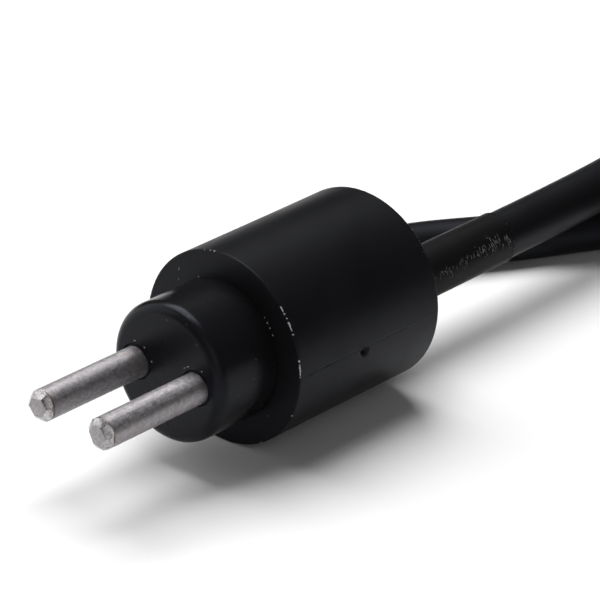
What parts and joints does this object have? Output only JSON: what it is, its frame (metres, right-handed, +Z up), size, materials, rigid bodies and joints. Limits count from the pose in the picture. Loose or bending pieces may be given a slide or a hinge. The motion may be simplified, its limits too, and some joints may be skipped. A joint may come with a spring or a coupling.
{
  "type": "soil moisture sensor",
  "caption": "Round potted soil probe with a stepped nose, two parallel metal pins and a two-core lead that is wound in a tied coil and ends in ferruled wires.",
  "frame": {"origin": "on the surface that the sensor lies on, under the middle of the head's box, the lead left out", "axes": "+Z up; the head's axis lies along Y, pins towards -Y, lead towards +Y; the two pins are side by side along X"},
  "size_m": [0.0615, 0.1524, 0.0254],
  "materials": {
    "body_plastic": "satin moulded black plastic with a parting line",
    "nose_plastic": "satin moulded black plastic",
    "pin_steel": "drawn stainless rod, dull grey",
    "seal_black": "black sealant",
    "tinned_copper": "tin plate",
    "copper": "bare copper strands",
    "core_black": "PVC insulation",
    "core_red": "PVC insulation",
    "shrink_black": "heat-shrink tube",
    "cable_jacket": "soft black PVC jacket",
    "tie_nylon": "black nylon",
    "collar_plastic": "pale polypropylene"
  },
  "bodies": {
    "root": {"overmould_body": "body_plastic", "pin_carrier": "nose_plastic", "electrode_left": "pin_steel", "electrode_right": "pin_steel", "pin_seal_left": "seal_black", "pin_seal_right": "seal_black", "crimp_barrel_left": "tinned_copper", "crimp_barrel_right": "tinned_copper", "conductor_left": "copper", "conductor_right": "copper", "core_left": "core_black", "core_right": "core_red", "shrink_sleeve_left": "shrink_black", "shrink_sleeve_right": "shrink_black", "cable_root": "cable_jacket", "anchor_ring": "tinned_copper", "cable_lead": "cable_jacket", "cable_coil": "cable_jacket", "cable_tail": "cable_jacket", "coil_tie": "tie_nylon", "end_sleeve": "shrink_black", "tail_core_left": "core_black", "tail_core_right": "core_red", "ferrule_collar_left": "collar_plastic", "ferrule_collar_right": "collar_plastic", "ferrule_left": "tinned_copper", "ferrule_right": "tinned_copper", "tail_strands_left": "copper", "tail_strands_right": "copper"}
  },
  "joints": []
}
